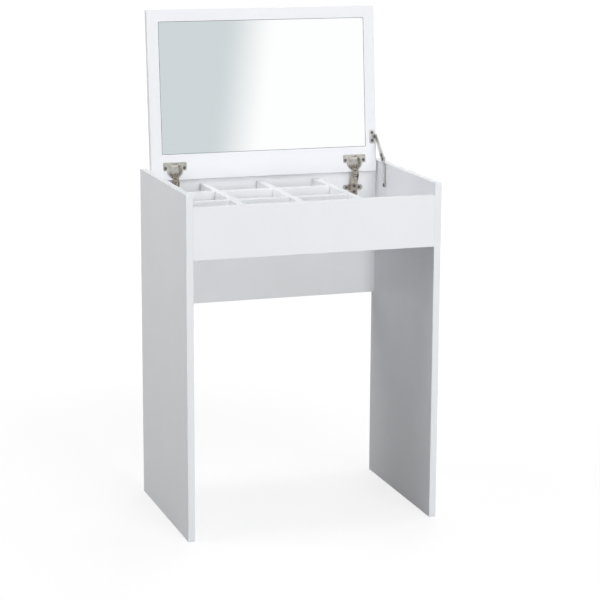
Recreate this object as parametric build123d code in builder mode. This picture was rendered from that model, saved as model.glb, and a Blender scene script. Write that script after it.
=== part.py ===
# Vanity table with a lift-up mirror lid, shown with the lid open. Sizes in millimetres.
# The origin is on the floor, in the middle of the width and of the depth with the lid open.
import os
from math import cos, radians, sin, sqrt

from build123d import *

os.makedirs("parts", exist_ok=True)

# Carcass boards
width = 600.0
depth = 400.0
height = 790.0
board = 16.0
edge_break = 0.6
side_rise = 28.0
front_height = 118.0
back_height = 300.0
back_inset = 5.0
floor_rise = 6.0

# Tray dividers: three columns of equal cells, an open compartment on the right
cell_width = 124.0
rows = 3
divider_drop = 10.0
divider_board = 16.0
divider_fit = 0.2

# Lid and mirror
lid_side_gap = 3.0
lid_lip = 1.0
lid_board_thickness = 16.0
lid_gap = 1.5
lid_lean = 5.0
lid_forward = 13.0
lid_lift = 3.0
mirror_border = 27.0
mirror_foot = 60.0
mirror_thickness = 3.0
mirror_fit = 0.5

# Cam bolts, cam discs and dowels
hole_fit = 0.1
bolt_radius = 2.5
bolt_head_radius = 3.5
bolt_head_length = 3.0
bolt_thread = 11.0
bolt_reach = 25.0
cam_setback = 24.0
cam_radius = 7.5
cam_length = 12.0
cam_slot_width = 1.6
cam_slot_length = 9.0
cam_slot_depth = 2.0
dowel_radius = 4.0
dowel_seat = 10.0
dowel_reach = 20.0
front_cam_pitch = 72.0
back_cam_pitch = 220.0
back_dowel_pitch = 120.0
floor_cam_pitch = 250.0
floor_dowel_pitch = 130.0

# Concealed hinges
hinge_edge = 57.0
cup_setback = 22.0
cup_radius = 17.4
cup_depth = 11.4
cup_wall = 0.9
cup_fit = 0.1
flange_thickness = 1.0
flange_lip = 1.8
wing_span = 57.0
wing_height = 19.4
wing_rise = 9.6
wing_corner = 3.0
cup_screw_pitch = 46.0
cup_screw_rise = 6.0
spring_box_half = 10.0
spring_box_start = 8.0
spring_box_end = 14.0
spring_box_low = 6.8
spring_box_high = 2.0
pin_radius = 1.0
pin_fit = 0.05
inner_pin_setback = 10.0
inner_pin_depth = 2.6
inner_link_length = 22.0
inner_link_width = 3.0
inner_link_half = 3.4
outer_pin_setback = 14.5
outer_pin_depth = 2.6
outer_link_length = 23.0
outer_link_width = 3.8
link_plate = 1.2
link_bend = 3.0
inner_knee_forward = 1.0
inner_knee_rise = 6.5
outer_knee_rise = 6.0
layer_gap = 0.4
lug_plate = 1.0
eye_wall = 1.2
arm_tail = 54.0
arm_shoulder = 27.0
arm_depth = 12.5
arm_plate = 1.2
arm_lift = 2.4
arm_cover = 1.0
arm_crown = 0.4
arm_corner = 1.0
plate_drop = 37.0
plate_span = 50.0
plate_height = 13.0
plate_corner = 6.0
plate_thickness = 2.0
ridge_height = 26.0
ridge_depth = 7.0
plate_screw_pitch = 32.0
fixing_screw_drop = 46.0
adjusting_screw_drop = 32.0

# Screws
screw_radius = 1.8
screw_head_radius = 3.6
screw_head_height = 1.6
screw_head_taper = 20.0
screw_slot_width = 0.9
screw_slot_depth = 0.8
cup_screw_length = 12.0
plate_screw_length = 13.0
arm_screw_radius = 2.2
arm_screw_head_radius = 4.0

# Folding lid stay on the right side panel
stay_plate = 1.8
stay_pin_rise = 83.0
stay_pin_out = 7.0
stay_pin_radius = 2.2
stay_side_forward = 65.0
stay_side_drop = 24.5
stay_upper_length = 66.8
stay_lower_length = 62.6
stay_lower_width = 10.0
stay_upper_tip = 6.0
stay_upper_heel = 11.5
stay_stop_spacing = 11.0
stay_head_height = 1.0
stay_pin_lip = 2.4
stay_pin_head = 0.8
stay_tab_radius = 5.0
stay_rib_inset = 8.0
stay_rib_width = 4.0
stay_rib_height = 0.7
stay_lower_eye = 0.8
stay_panel_gap = 0.5
elbow_play = 1.2
bracket_plate = 1.5
bracket_width = 14.0
bracket_length = 32.0
bracket_corner = 2.0
bracket_screw_pitch = 19.0

# Heights and faces that follow from the boards
inner_half = width / 2 - board
inner_width = 2 * inner_half
top_z = height - side_rise
front_bottom = top_z - front_height
back_bottom = top_z - back_height
floor_bottom = front_bottom + floor_rise
floor_top = floor_bottom + board
divider_top = top_z - divider_drop
divider_height = divider_top - floor_top
lid_width = inner_width - 2 * lid_side_gap
lid_depth = depth - back_inset + lid_lip
lean = radians(lid_lean)


# Places near the hinges are (back, up) from the back panel's inner top edge.
# Places on the lid are (along, out): up from its lower edge, out from its mirror face.
def open_place(along, out):
    return Vector(
        -lid_forward + along * sin(lean) - out * cos(lean),
        lid_lift + along * cos(lean) + out * sin(lean),
    )


def closed_place(along, out):
    return Vector(board - along, lid_gap - out)


# The fixed pivot that keeps a link's lid pin at one distance in both end positions
def link_pivot(along, out, length):
    opened = open_place(along, out)
    half_way = (closed_place(along, out) - opened) / 2
    across = Vector(-half_way.Y, half_way.X).normalized()
    reach = sqrt(length**2 - half_way.length**2)
    return opened + half_way - across * reach


# The elbow of two arms, on the front side of the line between their ends
def arm_elbow(top, bottom, upper, lower):
    span = top - bottom
    along = span.normalized()
    across = Vector(-along.Y, along.X)
    foot = (lower**2 - upper**2 + span.length**2) / (2 * span.length)
    return bottom + along * foot + across * sqrt(lower**2 - foot**2)


wall_from_front = depth - back_inset - board
open_depth = max(depth, wall_from_front + open_place(lid_depth, -lid_board_thickness).X)
front_y = -open_depth / 2
wall_y = front_y + wall_from_front
front_inner_y = front_y + board
tray_depth = wall_y - front_inner_y

lid_plane = Plane(
    origin=(0, wall_y - lid_forward, top_z + lid_lift),
    x_dir=(1, 0, 0),
    z_dir=(0, -cos(lean), sin(lean)),
)
lid_out = Axis(lid_plane.origin, lid_plane.z_dir)


def wall_side(x):
    return Plane(origin=(x, wall_y, top_z), x_dir=(0, 1, 0), z_dir=(1, 0, 0))


def lid_side(x):
    corner = lid_plane.from_local_coords(Vector(x, 0, 0))
    return Plane(origin=corner, x_dir=lid_plane.y_dir, z_dir=(1, 0, 0))


def lid_face(out):
    return lid_plane.offset(out)


def rear_face(y):
    return Plane.XZ.offset(-y)


# Where the rails meet the side panels
front_mid_y = front_y + board / 2
front_mid_z = front_bottom + front_height / 2
back_mid_y = wall_y + board / 2
back_mid_z = back_bottom + back_height / 2
floor_mid_y = front_inner_y + tray_depth / 2
floor_mid_z = floor_bottom + board / 2
front_cam_spots = [(front_mid_y, front_mid_z + k * front_cam_pitch / 2) for k in (-1, 1)]
back_cam_spots = [(back_mid_y, back_mid_z + k * back_cam_pitch / 2) for k in (-1, 1)]
floor_cam_spots = [(floor_mid_y + k * floor_cam_pitch / 2, floor_mid_z) for k in (-1, 1)]
front_dowel_spots = [(front_mid_y, front_mid_z)]
back_dowel_spots = [(back_mid_y, back_mid_z + k * back_dowel_pitch / 2) for k in (-1, 1)]
floor_dowel_spots = [(floor_mid_y + k * floor_dowel_pitch / 2, floor_mid_z) for k in (-1, 1)]
cam_spots = front_cam_spots + back_cam_spots + floor_cam_spots
rail_dowel_spots = front_dowel_spots + back_dowel_spots + floor_dowel_spots
cam_x = inner_half - cam_setback

# Divider lines
partition_x = [-inner_half + k * (cell_width + divider_board) - divider_board / 2 for k in (1, 2, 3)]
row_depth = (tray_depth - (rows - 1) * divider_board) / rows
cross_y = [front_inner_y + k * (row_depth + divider_board) - divider_board / 2 for k in range(1, rows)]
divider_mid_z = floor_top + divider_height / 2
cross_right = partition_x[2] - divider_board / 2
cross_dowel_spots = [(y, divider_mid_z) for y in cross_y]
partition_dowel_spot = (partition_x[2], divider_mid_z)

# Hinge and stay pivots with the lid open
hinge_xs = {"left": -lid_width / 2 + hinge_edge, "right": lid_width / 2 - hinge_edge}
inner_pin = open_place(inner_pin_setback, -inner_pin_depth)
outer_pin = open_place(outer_pin_setback, -outer_pin_depth)
inner_pivot = link_pivot(inner_pin_setback, -inner_pin_depth, inner_link_length)
outer_pivot = link_pivot(outer_pin_setback, -outer_pin_depth, outer_link_length)
stay_pin = open_place(stay_pin_rise, stay_pin_out)
stay_side = Vector(-stay_side_forward, -stay_side_drop)
stay_elbow = arm_elbow(stay_pin, stay_side, stay_upper_length, stay_lower_length)

# Layers of the stay, in from the side panel: rivet head, lower arm, upper arm, lid bracket
rivet_outer_x = inner_half - stay_panel_gap
lower_arm_x = rivet_outer_x - stay_head_height - layer_gap
upper_arm_x = lower_arm_x - stay_plate - layer_gap
bracket_x = upper_arm_x - stay_plate - layer_gap
bracket_mid_x = bracket_x - bracket_width / 2
bracket_screw_spots = [(bracket_mid_x, stay_pin_rise + k * bracket_screw_pitch / 2) for k in (-1, 1)]


# Side panels
for side, end in (("left", -1), ("right", 1)):
    with BuildPart() as side_panel:
        with BuildSketch(Plane.YZ.offset(end * inner_half)):
            with Locations((front_y + depth / 2, height / 2)):
                Rectangle(depth, height)
        extrude(amount=end * board)
        chamfer(side_panel.edges(), edge_break)
        with BuildSketch(Plane.YZ.offset(end * inner_half)):
            with Locations(*cam_spots):
                Circle(bolt_radius + hole_fit)
        extrude(amount=end * (bolt_thread + hole_fit), mode=Mode.SUBTRACT)
        with BuildSketch(Plane.YZ.offset(end * inner_half)):
            with Locations(*rail_dowel_spots):
                Circle(dowel_radius + hole_fit)
            if side == "left":
                with Locations(*cross_dowel_spots):
                    Circle(dowel_radius + hole_fit)
        extrude(amount=end * (dowel_seat + hole_fit), mode=Mode.SUBTRACT)
        if side == "right":
            with BuildSketch(wall_side(inner_half)):
                with Locations(stay_side):
                    Circle(stay_pin_radius + hole_fit)
            extrude(amount=cup_screw_length + hole_fit, mode=Mode.SUBTRACT)
    side_panel.part.label = f"side_panel_{side}"
    export_step(side_panel.part, f"parts/side_panel_{side}.step")


# Front panel of the tray
with BuildPart() as front_panel:
    with BuildSketch(Plane.YZ.offset(-inner_half)):
        with Locations((front_mid_y, front_mid_z)):
            Rectangle(board, front_height)
    extrude(amount=inner_width)
    chamfer(front_panel.edges().filter_by(Axis.X), edge_break)
    for end in (-1, 1):
        with BuildSketch(Plane.YZ.offset(end * inner_half)):
            with Locations(*front_cam_spots):
                Circle(bolt_head_radius + hole_fit)
        extrude(amount=-end * cam_setback, mode=Mode.SUBTRACT)
        with BuildSketch(Plane.YZ.offset(end * inner_half)):
            with Locations(*front_dowel_spots):
                Circle(dowel_radius + hole_fit)
        extrude(amount=-end * (dowel_reach + hole_fit), mode=Mode.SUBTRACT)
        with BuildSketch(rear_face(front_inner_y)):
            with Locations(*[(end * cam_x, z) for _, z in front_cam_spots]):
                Circle(cam_radius + hole_fit)
        extrude(amount=cam_length + hole_fit, mode=Mode.SUBTRACT)
    with BuildSketch(rear_face(front_inner_y)):
        with Locations(partition_dowel_spot):
            Circle(dowel_radius + hole_fit)
    extrude(amount=dowel_seat + hole_fit, mode=Mode.SUBTRACT)
front_panel.part.label = "front_panel"
export_step(front_panel.part, "parts/front_panel.step")


# Back panel, deeper than the tray, with the pilot holes of the hinge plates
plate_screw_spots = [
    (x + k * plate_screw_pitch / 2, top_z - plate_drop) for x in hinge_xs.values() for k in (-1, 1)
]
with BuildPart() as back_panel:
    with BuildSketch(Plane.YZ.offset(-inner_half)):
        with Locations((back_mid_y, back_mid_z)):
            Rectangle(board, back_height)
    extrude(amount=inner_width)
    chamfer(back_panel.edges().filter_by(Axis.X), edge_break)
    for end in (-1, 1):
        with BuildSketch(Plane.YZ.offset(end * inner_half)):
            with Locations(*back_cam_spots):
                Circle(bolt_head_radius + hole_fit)
        extrude(amount=-end * cam_setback, mode=Mode.SUBTRACT)
        with BuildSketch(Plane.YZ.offset(end * inner_half)):
            with Locations(*back_dowel_spots):
                Circle(dowel_radius + hole_fit)
        extrude(amount=-end * (dowel_reach + hole_fit), mode=Mode.SUBTRACT)
        with BuildSketch(rear_face(wall_y + board)):
            with Locations(*[(end * cam_x, z) for _, z in back_cam_spots]):
                Circle(cam_radius + hole_fit)
        extrude(amount=cam_length + hole_fit, mode=Mode.SUBTRACT)
    with BuildSketch(rear_face(wall_y)):
        with Locations(*plate_screw_spots):
            Circle(screw_radius + hole_fit)
    extrude(amount=-plate_screw_length, mode=Mode.SUBTRACT)
    with BuildSketch(rear_face(wall_y)):
        with Locations(partition_dowel_spot):
            Circle(dowel_radius + hole_fit)
    extrude(amount=-(dowel_seat + hole_fit), mode=Mode.SUBTRACT)
back_panel.part.label = "back_panel"
export_step(back_panel.part, "parts/back_panel.step")


# Tray floor, cam pockets on its underside
with BuildPart() as tray_floor:
    with BuildSketch(Plane.YZ.offset(-inner_half)):
        with Locations((floor_mid_y, floor_mid_z)):
            Rectangle(tray_depth, board)
    extrude(amount=inner_width)
    for end in (-1, 1):
        with BuildSketch(Plane.YZ.offset(end * inner_half)):
            with Locations(*floor_cam_spots):
                Circle(bolt_head_radius + hole_fit)
        extrude(amount=-end * cam_setback, mode=Mode.SUBTRACT)
        with BuildSketch(Plane.YZ.offset(end * inner_half)):
            with Locations(*floor_dowel_spots):
                Circle(dowel_radius + hole_fit)
        extrude(amount=-end * (dowel_reach + hole_fit), mode=Mode.SUBTRACT)
        with BuildSketch(Plane.XY.offset(floor_bottom)):
            with Locations(*[(end * cam_x, y) for y, _ in floor_cam_spots]):
                Circle(cam_radius + hole_fit)
        extrude(amount=cam_length + hole_fit, mode=Mode.SUBTRACT)
tray_floor.part.label = "tray_floor"
export_step(tray_floor.part, "parts/tray_floor.step")


# Cross dividers, notched from below where they cross the left and middle partitions
cross_left_x = -inner_half + divider_fit
cross_right_x = cross_right - divider_fit
half_lap = divider_height / 2 + divider_fit
for name, y in zip(("front", "rear"), cross_y):
    with BuildPart() as cross_divider:
        with BuildSketch(rear_face(y + divider_board / 2)):
            with Locations(((cross_left_x + cross_right_x) / 2, divider_mid_z)):
                Rectangle(cross_right_x - cross_left_x, divider_height)
            with Locations(*[(x, floor_top + half_lap / 2) for x in partition_x[:2]]):
                Rectangle(divider_board + 2 * divider_fit, half_lap, mode=Mode.SUBTRACT)
        extrude(amount=divider_board)
        for x, inward in ((cross_left_x, 1), (cross_right_x, -1)):
            with BuildSketch(Plane.YZ.offset(x)):
                with Locations((y, divider_mid_z)):
                    Circle(dowel_radius + hole_fit)
            extrude(amount=inward * dowel_reach, mode=Mode.SUBTRACT)
    cross_divider.part.label = f"cross_divider_{name}"
    export_step(cross_divider.part, f"parts/cross_divider_{name}.step")


# Front-to-back partitions, notched from above, the right one whole
partition_length = tray_depth - 2 * divider_fit
for name, x in zip(("left", "middle", "right"), partition_x):
    with BuildPart() as partition:
        with BuildSketch(Plane.YZ.offset(x - divider_board / 2)):
            with Locations((floor_mid_y, divider_mid_z)):
                Rectangle(partition_length, divider_height)
            if name != "right":
                with Locations(*[(y, divider_top - half_lap / 2) for y in cross_y]):
                    Rectangle(divider_board + 2 * divider_fit, half_lap, mode=Mode.SUBTRACT)
        extrude(amount=divider_board)
        if name == "right":
            for end in (-1, 1):
                with BuildSketch(rear_face(floor_mid_y + end * partition_length / 2)):
                    with Locations(partition_dowel_spot):
                        Circle(dowel_radius + hole_fit)
                extrude(amount=end * dowel_reach, mode=Mode.SUBTRACT)
            with BuildSketch(Plane.YZ.offset(cross_right)):
                with Locations(*cross_dowel_spots):
                    Circle(dowel_radius + hole_fit)
            extrude(amount=dowel_seat + hole_fit, mode=Mode.SUBTRACT)
    partition.part.label = f"partition_{name}"
    export_step(partition.part, f"parts/partition_{name}.step")


# Cam bolts, screwed into the side panels, heads in the cam discs
with BuildPart() as cam_bolts:
    for end in (-1, 1):
        with BuildSketch(Plane.YZ.offset(end * (inner_half + bolt_thread))):
            with Locations(*cam_spots):
                Circle(bolt_radius)
        extrude(amount=-end * (bolt_thread + bolt_reach))
        with BuildSketch(Plane.YZ.offset(end * (inner_half - bolt_reach))):
            with Locations(*cam_spots):
                Circle(bolt_head_radius)
        extrude(amount=end * bolt_head_length)
cam_bolts.part.label = "cam_bolts"
export_step(cam_bolts.part, "parts/cam_bolts.step")


# Cam discs with a driver slot, bored for the bolt heads from the panel's end
with BuildPart() as cam_discs:
    for end in (-1, 1):
        for y, spots in ((front_inner_y, front_cam_spots), (wall_y + board, back_cam_spots)):
            places = [(end * cam_x, z) for _, z in spots]
            with BuildSketch(rear_face(y)):
                with Locations(*places):
                    Circle(cam_radius)
            extrude(amount=cam_length)
            with BuildSketch(rear_face(y)):
                with Locations(*places):
                    Rectangle(cam_slot_length, cam_slot_width)
                    Rectangle(cam_slot_width, cam_slot_length)
            extrude(amount=cam_slot_depth, mode=Mode.SUBTRACT)
        floor_places = [(end * cam_x, y) for y, _ in floor_cam_spots]
        with BuildSketch(Plane.XY.offset(floor_bottom)):
            with Locations(*floor_places):
                Circle(cam_radius)
        extrude(amount=cam_length)
        with BuildSketch(Plane.XY.offset(floor_bottom)):
            with Locations(*floor_places):
                Rectangle(cam_slot_length, cam_slot_width)
                Rectangle(cam_slot_width, cam_slot_length)
        extrude(amount=cam_slot_depth, mode=Mode.SUBTRACT)
        with BuildSketch(Plane.YZ.offset(end * (cam_x + cam_radius))):
            with Locations(*cam_spots):
                Circle(bolt_head_radius + hole_fit)
        extrude(amount=-end * (cam_radius + bolt_reach - cam_setback + hole_fit), mode=Mode.SUBTRACT)
cam_discs.part.label = "cam_discs"
export_step(cam_discs.part, "parts/cam_discs.step")


# Wood dowels of the carcass and of the dividers
with BuildPart() as dowels:
    for end in (-1, 1):
        with BuildSketch(Plane.YZ.offset(end * (inner_half + dowel_seat))):
            with Locations(*rail_dowel_spots):
                Circle(dowel_radius)
        extrude(amount=-end * (dowel_seat + dowel_reach))
        with BuildSketch(rear_face(floor_mid_y + end * (tray_depth / 2 + dowel_seat))):
            with Locations(partition_dowel_spot):
                Circle(dowel_radius)
        extrude(amount=end * (dowel_seat + dowel_reach - divider_fit))
    for x, inward in ((-inner_half, 1), (cross_right, -1)):
        with BuildSketch(Plane.YZ.offset(x - inward * dowel_seat)):
            with Locations(*cross_dowel_spots):
                Circle(dowel_radius)
        extrude(amount=inward * (dowel_seat + dowel_reach - divider_fit))
dowels.part.label = "dowels"
export_step(dowels.part, "parts/dowels.step")


# Lid board with the mirror's recess and the blind bores of the hinge cups
mirror_width = lid_width - 2 * mirror_border
mirror_height = lid_depth - mirror_border - mirror_foot
mirror_mid = mirror_foot + mirror_height / 2
cup_spots = [(x, cup_setback) for x in hinge_xs.values()]
cup_screw_spots = [
    (x + k * cup_screw_pitch / 2, cup_setback + cup_screw_rise) for x in hinge_xs.values() for k in (-1, 1)
]
with BuildPart() as lid_board:
    with BuildSketch(lid_plane):
        with Locations((0, lid_depth / 2)):
            Rectangle(lid_width, lid_depth)
    extrude(amount=-lid_board_thickness)
    chamfer(lid_board.edges(), edge_break)
    with BuildSketch(lid_plane):
        with Locations((0, mirror_mid)):
            Rectangle(mirror_width, mirror_height)
    extrude(amount=-mirror_thickness, mode=Mode.SUBTRACT)
    with BuildSketch(lid_plane):
        with Locations(*cup_spots):
            Circle(cup_radius + cup_fit)
    extrude(amount=-(cup_depth + cup_fit), mode=Mode.SUBTRACT)
    with BuildSketch(lid_plane):
        with Locations(*cup_screw_spots, *bracket_screw_spots):
            Circle(screw_radius + hole_fit)
    extrude(amount=-cup_screw_length, mode=Mode.SUBTRACT)
lid_board.part.label = "lid_board"
export_step(lid_board.part, "parts/lid_board.step")


# Mirror glass, flush in its recess
with BuildPart() as mirror_glass:
    with BuildSketch(lid_face(-mirror_thickness)):
        with Locations((0, mirror_mid)):
            Rectangle(mirror_width - 2 * mirror_fit, mirror_height - 2 * mirror_fit)
    extrude(amount=mirror_thickness)
    chamfer(mirror_glass.faces().sort_by(lid_out)[-1].edges(), edge_break)
mirror_glass.part.label = "mirror_glass"
export_step(mirror_glass.part, "parts/mirror_glass.step")


# Layers of a hinge, out from its middle: inner link, cup lugs, outer link cheeks, arm cheeks
lug_half = inner_link_half + layer_gap
cheek_half = lug_half + lug_plate + 2 * layer_gap
arm_half = cheek_half + link_plate + layer_gap
eye_radius = pin_radius + eye_wall
inner_knee = Vector(-lid_forward - inner_link_width - inner_knee_forward, lid_lift + inner_knee_rise)
outer_knee = Vector(outer_pivot.X, lid_lift + outer_knee_rise)
cup_floor = cup_depth - cup_wall
spring_box = [
    (cup_setback + spring_box_start, -cup_floor),
    (cup_setback + spring_box_start, -spring_box_low),
    (cup_setback + spring_box_end, -spring_box_high),
    (cup_setback + spring_box_end, -cup_floor),
]

for side, x in hinge_xs.items():
    # Cup: a pot in the lid with a winged flange, two lugs for the inner pin and a sloped spring box
    with BuildPart() as hinge_cup:
        with BuildSketch(lid_plane):
            with Locations((x, cup_setback)):
                Circle(cup_radius + flange_lip)
            with Locations((x, cup_setback + wing_rise)):
                RectangleRounded(wing_span, wing_height, wing_corner)
        extrude(amount=flange_thickness)
        with BuildSketch(lid_plane):
            with Locations((x, cup_setback)):
                Circle(cup_radius)
        extrude(amount=-cup_depth)
        with BuildSketch(lid_face(flange_thickness)):
            with Locations((x, cup_setback)):
                Circle(cup_radius - cup_wall)
        extrude(amount=-(flange_thickness + cup_floor), mode=Mode.SUBTRACT)
        with BuildSketch(lid_face(flange_thickness)):
            with Locations(*[(x + k * cup_screw_pitch / 2, cup_setback + cup_screw_rise) for k in (-1, 1)]):
                Circle(screw_radius + hole_fit)
        extrude(amount=-flange_thickness, mode=Mode.SUBTRACT)
        for k in (-1, 1):
            with BuildSketch(lid_side(x + k * lug_half)):
                with Locations((inner_pin_setback, -inner_pin_depth)):
                    Circle(eye_radius)
                with Locations((inner_pin_setback, -(inner_pin_depth + cup_depth - cup_wall / 2) / 2)):
                    Rectangle(2 * eye_radius, cup_depth - cup_wall / 2 - inner_pin_depth)
                with Locations((inner_pin_setback, -inner_pin_depth)):
                    Circle(pin_radius + pin_fit, mode=Mode.SUBTRACT)
            extrude(amount=k * lug_plate)
        with BuildSketch(lid_side(x)):
            with BuildLine():
                Polyline(*spring_box, close=True)
            make_face()
        extrude(amount=spring_box_half, both=True)
    hinge_cup.part.label = f"hinge_cup_{side}"
    export_step(hinge_cup.part, f"parts/hinge_cup_{side}.step")

    # Inner link: a hook that passes round the lid's lower edge into the cup
    with BuildPart() as inner_link:
        with BuildSketch(wall_side(x)):
            with BuildLine():
                FilletPolyline(inner_pivot, inner_knee, inner_pin, radius=link_bend)
            trace(line_width=inner_link_width)
            with Locations(inner_pivot, inner_pin):
                Circle(eye_radius)
            with Locations(inner_pivot, inner_pin):
                Circle(pin_radius + pin_fit, mode=Mode.SUBTRACT)
        extrude(amount=inner_link_half, both=True)
    inner_link.part.label = f"hinge_inner_link_{side}"
    export_step(inner_link.part, f"parts/hinge_inner_link_{side}.step")

    # Outer link: two cheeks and a front web
    with BuildPart() as outer_link:
        for k in (-1, 1):
            with BuildSketch(wall_side(x + k * cheek_half)):
                with BuildLine():
                    FilletPolyline(outer_pivot, outer_knee, outer_pin, radius=link_bend)
                trace(line_width=outer_link_width)
                with Locations(outer_pivot, outer_pin):
                    Circle(eye_radius)
                with Locations(outer_pivot, outer_pin):
                    Circle(pin_radius + pin_fit, mode=Mode.SUBTRACT)
            extrude(amount=k * link_plate)
        web_low = outer_pivot.Y + eye_radius + layer_gap
        web_high = outer_knee.Y - link_bend
        with BuildSketch(wall_side(x)):
            with Locations((outer_pivot.X - outer_link_width / 2, (web_low + web_high) / 2)):
                Rectangle(2 * link_plate, web_high - web_low)
        extrude(amount=cheek_half + link_plate, both=True)
        with BuildSketch(wall_side(x)):
            with Locations((outer_pivot.X - outer_link_width / 2 + link_plate, (web_low + web_high) / 2)):
                Rectangle(2 * link_plate, web_high - web_low)
        extrude(amount=cheek_half, both=True, mode=Mode.SUBTRACT)
    outer_link.part.label = f"hinge_outer_link_{side}"
    export_step(outer_link.part, f"parts/hinge_outer_link_{side}.step")

    # Arm: a pressed channel, cranked forward to its two pivots
    arm_outline = [
        (-arm_lift, -arm_tail),
        (-arm_lift, -arm_shoulder),
        (inner_pivot.X + eye_radius + arm_cover, inner_pivot.Y - arm_cover),
        (inner_pivot.X + eye_radius + arm_cover, inner_pivot.Y + eye_radius + arm_crown),
        (outer_pivot.X + eye_radius, outer_pivot.Y + eye_radius),
        (outer_pivot.X - eye_radius, outer_pivot.Y + eye_radius),
        (outer_pivot.X - eye_radius, outer_pivot.Y - 2 * eye_radius),
        (-arm_depth, -arm_shoulder),
        (-arm_depth, -arm_tail),
    ]
    mouth_low = inner_pivot.Y - 2 * eye_radius
    mouth_high = outer_pivot.Y + 2 * eye_radius
    with BuildPart() as hinge_arm:
        with BuildSketch(wall_side(x)):
            with BuildLine():
                Polyline(*arm_outline, close=True)
            make_face()
        extrude(amount=arm_half + arm_plate, both=True)
        front_faces = hinge_arm.faces().filter_by(lambda face: face.normal_at().Y < -0.5)
        fillet([edge for edge in front_faces.edges() if abs(edge.tangent_at().X) < 0.5], arm_corner)
        with BuildSketch(wall_side(x)):
            with BuildLine():
                Polyline(*[(y + arm_plate, z) for y, z in arm_outline], close=True)
            make_face()
        extrude(amount=arm_half, both=True, mode=Mode.SUBTRACT)
        with BuildSketch(wall_side(x)):
            with Locations((outer_pivot.X, (mouth_low + mouth_high) / 2)):
                Rectangle(4 * arm_depth, mouth_high - mouth_low)
        extrude(amount=arm_half, both=True, mode=Mode.SUBTRACT)
        with BuildSketch(wall_side(x)):
            with Locations(inner_pivot, outer_pivot):
                Circle(pin_radius + pin_fit)
        extrude(amount=arm_half + arm_plate, both=True, mode=Mode.SUBTRACT)
        with BuildSketch(rear_face(wall_y - arm_depth)):
            with Locations((x, top_z - fixing_screw_drop), (x, top_z - adjusting_screw_drop)):
                Circle(arm_screw_radius + hole_fit)
        extrude(amount=-2 * arm_plate, mode=Mode.SUBTRACT)
    hinge_arm.part.label = f"hinge_arm_{side}"
    export_step(hinge_arm.part, f"parts/hinge_arm_{side}.step")

    # Mounting plate: two wings on the back panel and a ridge inside the arm
    ridge_half = arm_half - layer_gap
    with BuildPart() as hinge_plate:
        with BuildSketch(rear_face(wall_y)):
            with Locations((x, top_z - plate_drop)):
                RectangleRounded(plate_span, plate_height, plate_corner)
        extrude(amount=plate_thickness)
        with BuildSketch(rear_face(wall_y)):
            with Locations((x, top_z - plate_drop)):
                Rectangle(2 * ridge_half, ridge_height)
        extrude(amount=ridge_depth)
        with BuildSketch(rear_face(wall_y)):
            with Locations(*[(x + k * plate_screw_pitch / 2, top_z - plate_drop) for k in (-1, 1)]):
                Circle(screw_radius + hole_fit)
        extrude(amount=plate_thickness, mode=Mode.SUBTRACT)
        with BuildSketch(rear_face(wall_y)):
            with Locations((x, top_z - fixing_screw_drop), (x, top_z - adjusting_screw_drop)):
                Circle(arm_screw_radius + hole_fit)
        extrude(amount=ridge_depth, mode=Mode.SUBTRACT)
    hinge_plate.part.label = f"hinge_plate_{side}"
    export_step(hinge_plate.part, f"parts/hinge_plate_{side}.step")


# Pivot pins: two through each arm, one in each cup, two rivets in each outer link
with BuildPart() as arm_pins:
    for x in hinge_xs.values():
        with BuildSketch(wall_side(x)):
            with Locations(inner_pivot, outer_pivot):
                Circle(pin_radius)
        extrude(amount=arm_half + arm_plate + layer_gap, both=True)
arm_pins.part.label = "hinge_arm_pins"
export_step(arm_pins.part, "parts/hinge_arm_pins.step")

with BuildPart() as cup_pins:
    for x in hinge_xs.values():
        with BuildSketch(wall_side(x)):
            with Locations(inner_pin):
                Circle(pin_radius)
        extrude(amount=lug_half + lug_plate, both=True)
cup_pins.part.label = "hinge_cup_pins"
export_step(cup_pins.part, "parts/hinge_cup_pins.step")

with BuildPart() as link_rivets:
    for x in hinge_xs.values():
        for k in (-1, 1):
            with BuildSketch(wall_side(x + k * (cheek_half - layer_gap))):
                with Locations(outer_pin):
                    Circle(pin_radius)
            extrude(amount=k * (link_plate + 2 * layer_gap))
link_rivets.part.label = "hinge_link_rivets"
export_step(link_rivets.part, "parts/hinge_link_rivets.step")


# Groups of equal screws: tapered head with a cross slot on a plane, shank below it
def screw_group(label, plane, spots, radius, head_radius, length):
    with BuildPart() as screws:
        with BuildSketch(plane):
            with Locations(*spots):
                Circle(head_radius)
        extrude(amount=screw_head_height, taper=screw_head_taper)
        with BuildSketch(plane):
            with Locations(*spots):
                Circle(radius)
        extrude(amount=-length)
        with BuildSketch(plane.offset(screw_head_height)):
            with Locations(*spots):
                Rectangle(head_radius, screw_slot_width)
                Rectangle(screw_slot_width, head_radius)
        extrude(amount=-screw_slot_depth, mode=Mode.SUBTRACT)
    screws.part.label = label
    export_step(screws.part, f"parts/{label}.step")


arm_screw_spots = [
    (x, top_z - drop) for x in hinge_xs.values() for drop in (fixing_screw_drop, adjusting_screw_drop)
]
screw_group(
    "hinge_cup_screws",
    lid_face(flange_thickness),
    cup_screw_spots,
    screw_radius,
    screw_head_radius,
    cup_screw_length,
)
screw_group(
    "hinge_plate_screws",
    rear_face(wall_y - plate_thickness),
    plate_screw_spots,
    screw_radius,
    screw_head_radius,
    plate_screw_length,
)
screw_group(
    "hinge_arm_screws",
    rear_face(wall_y - arm_depth),
    arm_screw_spots,
    arm_screw_radius,
    arm_screw_head_radius,
    arm_depth - plate_thickness,
)
screw_group(
    "stay_bracket_screws",
    lid_face(bracket_plate),
    bracket_screw_spots,
    screw_radius,
    screw_head_radius,
    cup_screw_length,
)


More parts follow.
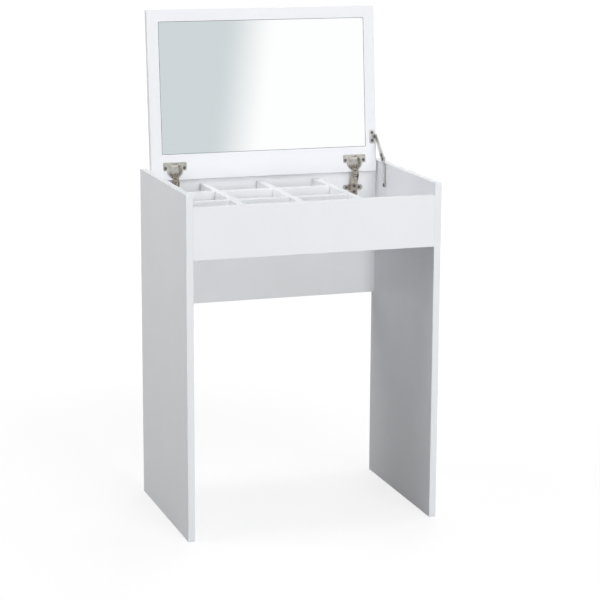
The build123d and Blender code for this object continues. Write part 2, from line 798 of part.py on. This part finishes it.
# Lid bracket of the stay: a plate on the lid's face with a tab for the pin
with BuildPart() as stay_bracket:
    with BuildSketch(lid_plane):
        with Locations((bracket_mid_x, stay_pin_rise)):
            RectangleRounded(bracket_width, bracket_length, bracket_corner)
    extrude(amount=bracket_plate)
    with BuildSketch(lid_side(bracket_x)):
        with Locations((stay_pin_rise, stay_pin_out)):
            Circle(stay_tab_radius)
        with Locations((stay_pin_rise, stay_pin_out / 2)):
            Rectangle(2 * stay_tab_radius, stay_pin_out)
        with Locations((stay_pin_rise, stay_pin_out)):
            Circle(stay_pin_radius + pin_fit, mode=Mode.SUBTRACT)
    extrude(amount=-bracket_plate)
    with BuildSketch(lid_face(bracket_plate)):
        with Locations(*bracket_screw_spots):
            Circle(screw_radius + hole_fit)
    extrude(amount=-bracket_plate, mode=Mode.SUBTRACT)
stay_bracket.part.label = "stay_bracket"
export_step(stay_bracket.part, "parts/stay_bracket.step")


# Bracket pin: a headed pin through the tab and the upper arm
with BuildPart() as stay_bracket_pin:
    with BuildSketch(wall_side(bracket_x - bracket_plate)):
        with Locations(stay_pin):
            Circle(stay_pin_radius)
    extrude(amount=upper_arm_x + pin_fit - bracket_x + bracket_plate)
    for x, outward in ((bracket_x - bracket_plate, -1), (upper_arm_x + pin_fit, 1)):
        with BuildSketch(wall_side(x)):
            with Locations(stay_pin):
                Circle(stay_pin_radius + stay_pin_lip)
        extrude(amount=outward * stay_pin_head)
stay_bracket_pin.part.label = "stay_bracket_pin"
export_step(stay_bracket_pin.part, "parts/stay_bracket_pin.step")


# Upper arm: a tapered pressing, widest at the elbow, with a stiffening rib
to_pin = (stay_pin - stay_elbow).normalized()
stay_stop = stay_elbow + to_pin * stay_stop_spacing
with BuildPart() as stay_upper_arm:
    with BuildSketch(wall_side(upper_arm_x)):
        with Locations(stay_pin):
            Circle(stay_upper_tip)
        with Locations(stay_elbow):
            Circle(stay_upper_heel)
        make_hull()
        with Locations(stay_pin, stay_elbow, stay_stop):
            Circle(stay_pin_radius + pin_fit, mode=Mode.SUBTRACT)
    extrude(amount=-stay_plate)
    with BuildSketch(wall_side(upper_arm_x - stay_plate)):
        with BuildLine():
            Line(stay_stop + to_pin * stay_rib_inset, stay_pin - to_pin * stay_rib_inset)
        trace(line_width=stay_rib_width)
    extrude(amount=-stay_rib_height)
stay_upper_arm.part.label = "stay_upper_arm"
export_step(stay_upper_arm.part, "parts/stay_upper_arm.step")


# Elbow rivet through both arms, and the stop rivet beside it
with BuildPart() as stay_rivets:
    with BuildSketch(wall_side(upper_arm_x - stay_plate)):
        with Locations(stay_elbow, stay_stop):
            Circle(stay_pin_radius + stay_pin_lip)
    extrude(amount=-stay_head_height)
    with BuildSketch(wall_side(upper_arm_x - stay_plate)):
        with Locations(stay_stop):
            Circle(stay_pin_radius)
    extrude(amount=stay_plate)
    with BuildSketch(wall_side(upper_arm_x - stay_plate)):
        with Locations(stay_elbow):
            Circle(stay_pin_radius)
    extrude(amount=rivet_outer_x - upper_arm_x + stay_plate)
    with BuildSketch(wall_side(rivet_outer_x)):
        with Locations(stay_elbow):
            Circle(stay_pin_radius + elbow_play + stay_pin_lip)
    extrude(amount=-stay_head_height)
stay_rivets.part.label = "stay_elbow_rivets"
export_step(stay_rivets.part, "parts/stay_elbow_rivets.step")


# Lower arm: a thin strip, its elbow hole larger than the rivet
with BuildPart() as stay_lower_arm:
    with BuildSketch(wall_side(lower_arm_x)):
        with BuildLine():
            Line(stay_side, stay_elbow)
        trace(line_width=stay_lower_width)
        with Locations(stay_side, stay_elbow):
            Circle(stay_lower_width / 2 + stay_lower_eye)
        with Locations(stay_side):
            Circle(stay_pin_radius + pin_fit, mode=Mode.SUBTRACT)
        with Locations(stay_elbow):
            Circle(stay_pin_radius + elbow_play, mode=Mode.SUBTRACT)
    extrude(amount=-stay_plate)
stay_lower_arm.part.label = "stay_lower_arm"
export_step(stay_lower_arm.part, "parts/stay_lower_arm.step")


# Spacer and pivot screw of the lower arm on the side panel
with BuildPart() as stay_spacer:
    with BuildSketch(wall_side(inner_half)):
        with Locations(stay_side):
            Circle(stay_pin_radius + stay_pin_lip)
            Circle(stay_pin_radius + pin_fit, mode=Mode.SUBTRACT)
    extrude(amount=lower_arm_x + pin_fit - inner_half)
stay_spacer.part.label = "stay_spacer"
export_step(stay_spacer.part, "parts/stay_spacer.step")

stay_screw_plane = Plane(
    origin=(lower_arm_x - stay_plate - pin_fit, wall_y, top_z),
    x_dir=(0, -1, 0),
    z_dir=(-1, 0, 0),
)
screw_group(
    "stay_pivot_screw",
    stay_screw_plane,
    [(stay_side_forward, -stay_side_drop)],
    stay_pin_radius,
    stay_pin_radius + stay_pin_lip,
    inner_half + cup_screw_length - lower_arm_x + stay_plate + pin_fit,
)
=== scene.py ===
import math

import bpy
from mathutils import Matrix, Vector

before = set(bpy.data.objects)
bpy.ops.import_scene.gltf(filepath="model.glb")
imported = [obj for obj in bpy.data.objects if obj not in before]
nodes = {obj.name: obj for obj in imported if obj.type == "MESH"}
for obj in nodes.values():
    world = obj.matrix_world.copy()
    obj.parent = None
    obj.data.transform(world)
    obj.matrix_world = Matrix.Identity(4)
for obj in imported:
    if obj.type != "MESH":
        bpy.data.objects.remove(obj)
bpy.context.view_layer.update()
print("frame loaded,", len(nodes), "pieces")


# camera at the viewing angle of the picture, no shift; angles in degrees
cameraSet = dict(
    spot=(-1.4764, -4.4530, 1.5213),
    azimuth=-18.727,
    elevation=12.339,
    roll=0.28,
    lens=123.19,
    sensor=36,
    clip=(0.1, 100),
)


def makeCamera(settings):
    a, e, r = (math.radians(settings[key]) for key in ("azimuth", "elevation", "roll"))
    back = Vector((math.sin(a) * math.cos(e), -math.cos(a) * math.cos(e), math.sin(e)))
    side = Vector((math.cos(a), math.sin(a), 0))
    turn = Matrix((side, back.cross(side), back)).transposed() @ Matrix.Rotation(r, 3, "Z")
    data = bpy.data.cameras.new("camera")
    data.lens = settings["lens"]
    data.sensor_width = settings["sensor"]
    data.clip_start, data.clip_end = settings["clip"]
    camera = bpy.data.objects.new("camera", data)
    camera.matrix_world = Matrix.Translation(settings["spot"]) @ turn.to_4x4()
    bpy.context.scene.collection.objects.link(camera)
    bpy.context.scene.camera = camera


makeCamera(cameraSet)
bpy.context.scene.view_settings.view_transform = "Standard"
print("camera placed")


# small helpers for the node trees
noiseSpan = (0.3, 0.7)  # where most values of a noise texture lie


def newFinish(name):
    mat = bpy.data.materials.new(name)
    mat.use_nodes = True
    return mat, mat.node_tree, mat.node_tree.nodes["Principled BSDF"]


def addNode(tree, kind, **settings):
    node = tree.nodes.new("ShaderNode" + kind)
    for key, value in settings.items():
        setattr(node, key, value)
    return node


def feed(tree, socket, value):
    if isinstance(value, (int, float)):
        socket.default_value = value
    elif isinstance(value, tuple):
        socket.default_value = (*value, 1)
    else:
        tree.links.new(value, socket)


def mathNode(tree, operation, first, second=None):
    node = addNode(tree, "Math", operation=operation)
    feed(tree, node.inputs[0], first)
    if second is not None:
        feed(tree, node.inputs[1], second)
    return node.outputs[0]


def remap(tree, value, span, reach, smooth=False):
    node = addNode(tree, "MapRange", interpolation_type="SMOOTHSTEP" if smooth else "LINEAR")
    for socket, number in zip(node.inputs[1:5], (*span, *reach)):
        socket.default_value = number
    tree.links.new(value, node.inputs[0])
    return node.outputs[0]


def mixColour(tree, factor, first, second, blend="MIX"):
    node = addNode(tree, "Mix", data_type="RGBA", blend_type=blend)
    for spot, value in ((0, factor), (6, first), (7, second)):  # 6 and 7 are its colour sockets
        feed(tree, node.inputs[spot], value)
    return node.outputs[2]


def mixShader(tree, factor, first, second, output):
    mix = addNode(tree, "MixShader")
    for spot, socket in enumerate((factor, first.outputs[0], second.outputs[0])):
        tree.links.new(socket, mix.inputs[spot])
    tree.links.new(mix.outputs[0], tree.nodes[output].inputs["Surface"])


def noise(tree, where, scale, detail=3, rough=0.55, stretch=(1, 1, 1)):
    mapping = addNode(tree, "Mapping")
    mapping.inputs["Scale"].default_value = stretch
    tree.links.new(where, mapping.inputs["Vector"])
    node = addNode(tree, "TexNoise")
    node.inputs["Scale"].default_value = scale
    node.inputs["Detail"].default_value = detail
    node.inputs["Roughness"].default_value = rough
    tree.links.new(mapping.outputs[0], node.inputs["Vector"])
    return node.outputs["Fac"]


def facing(tree, coord, way):
    node = addNode(tree, "VectorMath", operation="DOT_PRODUCT")
    node.inputs[1].default_value = way
    tree.links.new(coord.outputs["Normal"], node.inputs[0])
    return node.outputs["Value"]


def bumpNode(tree, height, strength, distance):
    node = addNode(tree, "Bump")
    node.inputs["Strength"].default_value = strength
    node.inputs["Distance"].default_value = distance
    tree.links.new(height, node.inputs["Height"])
    return node


def dress(mat, *names):
    for name in names:
        data = nodes[name].data
        data.materials.clear()
        data.materials.append(mat)


lidLean = math.radians(5)
lidFront = (0, -math.cos(lidLean), math.sin(lidLean))  # where the open lid's mirror side looks


# white melamine-faced board: pearled faces, smoother edge banding, a glue line on broken corners
boardSet = dict(
    face=(0.856, 0.863, 0.892),
    band=(0.836, 0.856, 0.880),
    glue=(0.620, 0.625, 0.635),
    glueShare=0.35,
    edgeLean=(0.20, 0.30),  # normals below this share of the thickness way are on an edge
    faceLean=(0.90, 0.97),  # and above this one on a face
    cloud=dict(scale=5.5, detail=4),
    cloudShade=(0.980, 1),
    streak=dict(scale=90, stretch=(3, 3, 0.25)),
    streakSpan=(0.35, 0.65),
    streakShade=(0.993, 1),
    pearl=dict(scale=620, detail=2),
    pearlStrength=0.35,
    pearlDepth=0.00004,
    pearlOnBand=0.25,
    rub=dict(scale=38, detail=4),
    roughFace=(0.36, 0.46),
    roughBand=0.05,
    specular=0.32,
)
insideWhiteAndPaintedLightSet = dict(  # whiter and duller, for the tray and the back: partly a whiter board, partly painted light that brightens these shaded parts
    boardSet,
    face=(0.936, 0.944, 0.960),
    band=(0.890, 0.902, 0.920),
    roughFace=(0.42, 0.52),
)


def boardFinish(name, thin, settings):
    mat, tree, bsdf = newFinish(name)
    coord = addNode(tree, "TexCoord")
    where = coord.outputs["Object"]
    broad = mathNode(tree, "ABSOLUTE", facing(tree, coord, thin))  # 1 on a face, 0 on an edge
    onEdge = remap(tree, broad, settings["edgeLean"], (1, 0))
    offFace = remap(tree, broad, settings["faceLean"], (1, 0))
    onCorner = mathNode(tree, "SUBTRACT", offFace, onEdge)
    glued = mathNode(tree, "MULTIPLY", onCorner, settings["glueShare"])

    tone = mixColour(tree, onEdge, settings["face"], settings["band"])
    tone = mixColour(tree, glued, tone, settings["glue"])
    cloud = noise(tree, where, **settings["cloud"])
    streak = noise(tree, where, **settings["streak"])
    cloudShade = remap(tree, cloud, noiseSpan, settings["cloudShade"])
    streakShade = remap(tree, streak, settings["streakSpan"], settings["streakShade"])
    shade = mathNode(tree, "MULTIPLY", cloudShade, streakShade)
    tree.links.new(mixColour(tree, 1.0, tone, shade, "MULTIPLY"), bsdf.inputs["Base Color"])

    rough = remap(tree, noise(tree, where, **settings["rub"]), noiseSpan, settings["roughFace"])
    smoother = mathNode(tree, "MULTIPLY", onEdge, settings["roughBand"])
    tree.links.new(mathNode(tree, "SUBTRACT", rough, smoother), bsdf.inputs["Roughness"])
    bsdf.inputs["Specular IOR Level"].default_value = settings["specular"]

    pearl = noise(tree, where, **settings["pearl"])
    fading = remap(tree, onEdge, (0, 1), (1, settings["pearlOnBand"]))
    relief = mathNode(tree, "MULTIPLY", pearl, fading)
    bump = bumpNode(tree, relief, settings["pearlStrength"], settings["pearlDepth"])
    tree.links.new(bump.outputs[0], bsdf.inputs["Normal"])
    return mat


across, ahead, upward = (1, 0, 0), (0, 1, 0), (0, 0, 1)
dress(boardFinish("whiteBoardAcross", across, boardSet), "side_panel_left", "side_panel_right")
dress(boardFinish("whiteBoardFront", ahead, boardSet), "front_panel")
# the tray pieces and the back panel take the paler copy, painted light for the shade they sit in
dress(boardFinish("trayBoardPaintedLightAcross", across, insideWhiteAndPaintedLightSet),
      "partition_left", "partition_middle", "partition_right")
dress(boardFinish("trayBoardPaintedLightFront", ahead, insideWhiteAndPaintedLightSet),
      "back_panel", "cross_divider_front", "cross_divider_rear")
dress(boardFinish("trayBoardPaintedLightFlat", upward, insideWhiteAndPaintedLightSet), "tray_floor")
dress(boardFinish("whiteBoardLid", lidFront, boardSet), "lid_board")
print("boards finished")


# silvered float glass, a green tinge on its ground edge, faint wiping marks
mirrorSet = dict(
    silver=(0.988, 0.992, 0.992),
    dull=(0.94, 0.955, 0.955),
    edge=(0.42, 0.55, 0.51),
    edgeLean=(0.90, 0.98),
    edgeRough=0.18,
    smear=dict(scale=7, detail=5, rough=0.6, stretch=(1, 1, 0.35)),
    silverShare=(0.975, 1),
    rough=(0.004, 0.020),
    roughSpan=(0.35, 0.75),
)


def mirrorFinish(settings):
    mat, tree, bsdf = newFinish("silveredGlass")
    coord = addNode(tree, "TexCoord")
    broad = mathNode(tree, "ABSOLUTE", facing(tree, coord, lidFront))
    ground = remap(tree, broad, settings["edgeLean"], (1, 0))
    smear = noise(tree, coord.outputs["Object"], **settings["smear"])
    share = remap(tree, smear, noiseSpan, settings["silverShare"])
    tone = mixColour(tree, share, settings["dull"], settings["silver"])
    tree.links.new(mixColour(tree, ground, tone, settings["edge"]), bsdf.inputs["Base Color"])
    rough = remap(tree, smear, settings["roughSpan"], settings["rough"])
    rougher = mathNode(tree, "MULTIPLY", ground, settings["edgeRough"])
    tree.links.new(mathNode(tree, "ADD", rough, rougher), bsdf.inputs["Roughness"])
    bsdf.inputs["Metallic"].default_value = 1
    return mat


dress(mirrorFinish(mirrorSet), "mirror_glass")
print("mirror finished")


# plated steel: two tones clouded together, drawn streaks, rounded highlights on the edges
platedSet = dict(
    cloudSpan=(0.34, 0.66),
    streakShade=(0.86, 1),
    streakShare=0.5,
    reliefStrength=0.3,
    roundSamples=4,
)
nickelSet = dict(
    platedSet,
    light=(0.710, 0.675, 0.628),
    dark=(0.565, 0.530, 0.485),
    cloud=dict(scale=70, detail=4, rough=0.6),
    streak=dict(scale=900, detail=2, rough=0.5, stretch=(1, 1, 0.12)),
    rough=(0.18, 0.30),
    relief=0.00003,
    round=0.0004,
)
cupSet = dict(
    nickelSet,
    boxPaintedHighlight=(0.880, 0.835, 0.765),  # painted highlight: pale tone on the spring box's one sloping face in the cup
    boxHighlightLean=(0.70, 0.86),
)
armSet = dict(
    nickelSet,
    light=(0.610, 0.540, 0.450),
    dark=(0.440, 0.382, 0.312),
    rough=(0.20, 0.34),
)
staySet = dict(
    platedSet,
    light=(0.840, 0.830, 0.805),
    dark=(0.750, 0.740, 0.715),
    cloud=dict(scale=60, detail=4, rough=0.6),
    streak=dict(scale=800, detail=2, rough=0.5, stretch=(1, 0.6, 0.15)),
    rough=(0.34, 0.50),
    relief=0.00003,
    round=0.0003,
)
screwSet = dict(
    platedSet,
    light=(0.290, 0.280, 0.270),
    dark=(0.130, 0.125, 0.120),
    cloud=dict(scale=300, detail=4, rough=0.6),
    streak=dict(scale=1400, detail=2, rough=0.5),
    rough=(0.26, 0.44),
    relief=0.00002,
    round=0.0003,
)
pinSet = dict(
    platedSet,
    light=(0.420, 0.385, 0.340),
    dark=(0.240, 0.215, 0.185),
    cloud=dict(scale=300, detail=4, rough=0.6),
    streak=dict(scale=1400, detail=2, rough=0.5, stretch=(0.1, 1, 1)),
    rough=(0.22, 0.36),
    relief=0.00002,
    round=0.0002,
)
zincSet = dict(
    platedSet,
    light=(0.520, 0.530, 0.540),
    dark=(0.340, 0.345, 0.350),
    cloud=dict(scale=420, detail=4, rough=0.6),
    streak=dict(scale=1800, detail=2, rough=0.5),
    rough=(0.42, 0.60),
    relief=0.00006,
    round=0.0003,
)


def platedFinish(name, settings):
    mat, tree, bsdf = newFinish(name)
    coord = addNode(tree, "TexCoord")
    where = coord.outputs["Object"]
    cloud = noise(tree, where, **settings["cloud"])
    streak = noise(tree, where, **settings["streak"])
    share = remap(tree, cloud, settings["cloudSpan"], (0, 1))
    tone = mixColour(tree, share, settings["dark"], settings["light"])
    bsdf.inputs["Metallic"].default_value = 1
    # painted highlight: the spring box's sloping face in the cup turns pale and non-metallic
    if "boxPaintedHighlight" in settings:
        slope = facing(tree, coord, lidFront)
        low, high = settings["boxHighlightLean"]
        above = mathNode(tree, "GREATER_THAN", slope, low)
        onPaintedHighlight = mathNode(tree, "MULTIPLY", above, mathNode(tree, "LESS_THAN", slope, high))
        tone = mixColour(tree, onPaintedHighlight, tone, settings["boxPaintedHighlight"])
        tree.links.new(remap(tree, onPaintedHighlight, (0, 1), (1, 0)), bsdf.inputs["Metallic"])
    shade = remap(tree, streak, noiseSpan, settings["streakShade"])
    tone = mixColour(tree, settings["streakShare"], tone, shade, "MULTIPLY")
    tree.links.new(tone, bsdf.inputs["Base Color"])
    tree.links.new(remap(tree, streak, noiseSpan, settings["rough"]), bsdf.inputs["Roughness"])
    edge = addNode(tree, "Bevel", samples=settings["roundSamples"])
    edge.inputs["Radius"].default_value = settings["round"]
    bump = bumpNode(tree, streak, settings["reliefStrength"], settings["relief"])
    tree.links.new(edge.outputs[0], bump.inputs["Normal"])
    tree.links.new(bump.outputs[0], bsdf.inputs["Normal"])
    return mat


sides = ("left", "right")
armPieces = ("inner_link", "outer_link", "arm")
dress(platedFinish("nickelPlate", nickelSet), *[f"hinge_plate_{side}" for side in sides])
dress(platedFinish("nickelCup", cupSet), *[f"hinge_cup_{side}" for side in sides])
dress(platedFinish("nickelArm", armSet),
      *[f"hinge_{piece}_{side}" for piece in armPieces for side in sides])
dress(platedFinish("hingePin", pinSet), "hinge_arm_pins", "hinge_cup_pins", "hinge_link_rivets")
dress(platedFinish("stayStrip", staySet),
      "stay_bracket", "stay_upper_arm", "stay_lower_arm", "stay_spacer")
dress(platedFinish("darkScrew", screwSet),
      "hinge_cup_screws", "hinge_plate_screws", "hinge_arm_screws",
      "stay_bracket_screws", "stay_pivot_screw", "stay_elbow_rivets", "stay_bracket_pin")
dress(platedFinish("castZinc", zincSet), "cam_discs", "cam_bolts")
print("metal finished")


# bare beech of the dowels, grain along each peg
beechSet = dict(
    light=(0.560, 0.380, 0.215),
    dark=(0.380, 0.230, 0.115),
    grain=dict(scale=240, detail=5, rough=0.6, stretch=(0.12, 1, 1)),
    grainStrength=0.3,
    grainDepth=0.0001,
    fleck=dict(scale=1500, detail=2, rough=0.5, stretch=(0.2, 1, 1)),
    fleckSpan=(0.62, 0.70),
    fleckShare=(0, 0.5),
    rough=(0.55, 0.70),
)


def beechFinish(settings):
    mat, tree, bsdf = newFinish("bareBeech")
    where = addNode(tree, "TexCoord").outputs["Object"]
    grain = noise(tree, where, **settings["grain"])
    fleck = noise(tree, where, **settings["fleck"])
    share = remap(tree, grain, noiseSpan, (0, 1))
    tone = mixColour(tree, share, settings["light"], settings["dark"])
    flecked = remap(tree, fleck, settings["fleckSpan"], settings["fleckShare"])
    tree.links.new(mixColour(tree, flecked, tone, settings["dark"]), bsdf.inputs["Base Color"])
    tree.links.new(remap(tree, grain, noiseSpan, settings["rough"]), bsdf.inputs["Roughness"])
    bump = bumpNode(tree, grain, settings["grainStrength"], settings["grainDepth"])
    tree.links.new(bump.outputs[0], bsdf.inputs["Normal"])
    return mat


dress(beechFinish(beechSet), "dowels")
print("dowels finished")


# pale studio: white floor that keeps a light shadow, soft lamps, a grey wall only in reflections
floorSet = dict(
    size=30,
    bounce=0.34,  # how much light it sends back to the table
    matte=0.90,  # how pale it looks where the shadow falls
    glow=1.04,
    nearShare=0.72,  # share of glow under the table, all glow further out
    fade=(0.6, 1.8),  # metres from the middle over which the shadow fades out
)
lampSet = [
    dict(name="lowFront", spot=(0.28, -4.6, 0.95), aim=(0, 0, 0.6), size=(0.8, 1.2), power=84),
    dict(name="highFront", spot=(0.4, -3.2, 3.4), aim=(0, 0, 0.7), size=(2.6, 2.0), power=69),
    dict(name="leftSide", spot=(-2.2, 0.15, 1.75), aim=(0, 0, 0.6), size=(1.4, 1.2), power=24),
    dict(name="overhead", spot=(0, -0.1, 3), aim=(0, 0, 0.7), size=(2.0, 1.6), power=17),
    dict(name="rightSide", spot=(3.4, 0.2, 1.2), aim=(0, 0, 0.5), size=(1.8, 1.8), power=48),
    dict(name="backFill", spot=(1.9, 3.4, 1.1), aim=(0, 0, 0.5), size=(2.0, 2.0), power=80),
]
worldSet = dict(
    ambient=0.14,
    white=(1, 1, 1),
    wall=(0.622, 0.676, 0.692),
    wallEdge=(0.2736, 0.3016),  # the wall turns white between these bearings, in radians
    wallTilt=0.173,  # how far that edge leans over with height
)


def seenRays(tree):
    path = addNode(tree, "LightPath")
    seen = mathNode(tree, "MAXIMUM", path.outputs["Is Camera Ray"], path.outputs["Is Glossy Ray"])
    return mathNode(tree, "MAXIMUM", seen, path.outputs["Is Transmission Ray"])


def makeFloor(settings):
    half = settings["size"] / 2
    corners = [(-half, -half, 0), (half, -half, 0), (half, half, 0), (-half, half, 0)]
    mesh = bpy.data.meshes.new("studioFloor")
    mesh.from_pydata(corners, [], [(0, 1, 2, 3)])
    floor = bpy.data.objects.new("studioFloor", mesh)
    bpy.context.scene.collection.objects.link(floor)
    mat, tree, bsdf = newFinish("studioWhite")
    tree.nodes.remove(bsdf)
    seen = seenRays(tree)
    matte = addNode(tree, "BsdfDiffuse")
    extra = mathNode(tree, "MULTIPLY", seen, settings["matte"] - settings["bounce"])
    tree.links.new(mathNode(tree, "ADD", extra, settings["bounce"]), matte.inputs["Color"])
    white = addNode(tree, "Emission")
    white.inputs["Strength"].default_value = settings["glow"]
    away = addNode(tree, "VectorMath", operation="LENGTH")
    tree.links.new(addNode(tree, "TexCoord").outputs["Object"], away.inputs[0])
    reach = (settings["nearShare"], 1)
    share = remap(tree, away.outputs["Value"], settings["fade"], reach, smooth=True)
    mixShader(tree, mathNode(tree, "MULTIPLY", seen, share), matte, white, "Material Output")
    mesh.materials.append(mat)


def makeLamp(settings):
    data = bpy.data.lights.new(settings["name"], "AREA")
    data.shape = "RECTANGLE"
    data.size, data.size_y = settings["size"]
    data.energy = settings["power"]
    lamp = bpy.data.objects.new(settings["name"], data)
    lamp.location = settings["spot"]
    aim = Vector(settings["aim"]) - Vector(settings["spot"])
    lamp.rotation_euler = aim.to_track_quat("-Z", "Y").to_euler()
    lamp.visible_glossy = False  # the mirror shows the studio wall, not the lamps
    bpy.context.scene.collection.objects.link(lamp)


def makeWorld(settings):
    world = bpy.data.worlds.new("studio")
    bpy.context.scene.world = world
    world.use_nodes = True
    tree = world.node_tree
    ambient = tree.nodes["Background"]
    ambient.inputs["Color"].default_value = (*settings["white"], 1)
    ambient.inputs["Strength"].default_value = settings["ambient"]
    split = addNode(tree, "SeparateXYZ")
    tree.links.new(addNode(tree, "TexCoord").outputs["Generated"], split.inputs[0])
    forward = mathNode(tree, "MULTIPLY", split.outputs["Y"], -1)
    bearing = mathNode(tree, "ARCTAN2", split.outputs["X"], forward)
    tilt = mathNode(tree, "MULTIPLY", split.outputs["Z"], settings["wallTilt"])
    edge = mathNode(tree, "SUBTRACT", bearing, tilt)
    turning = remap(tree, edge, settings["wallEdge"], (0, 1), smooth=True)
    wall = mixColour(tree, turning, settings["wall"], settings["white"])
    mirrored = addNode(tree, "LightPath").outputs["Is Glossy Ray"]
    shown = mixColour(tree, mirrored, settings["white"], wall)
    backdrop = addNode(tree, "Background")
    tree.links.new(shown, backdrop.inputs["Color"])
    mixShader(tree, seenRays(tree), ambient, backdrop, "World Output")


makeFloor(floorSet)
for lamp in lampSet:
    makeLamp(lamp)
makeWorld(worldSet)
print("studio ready")
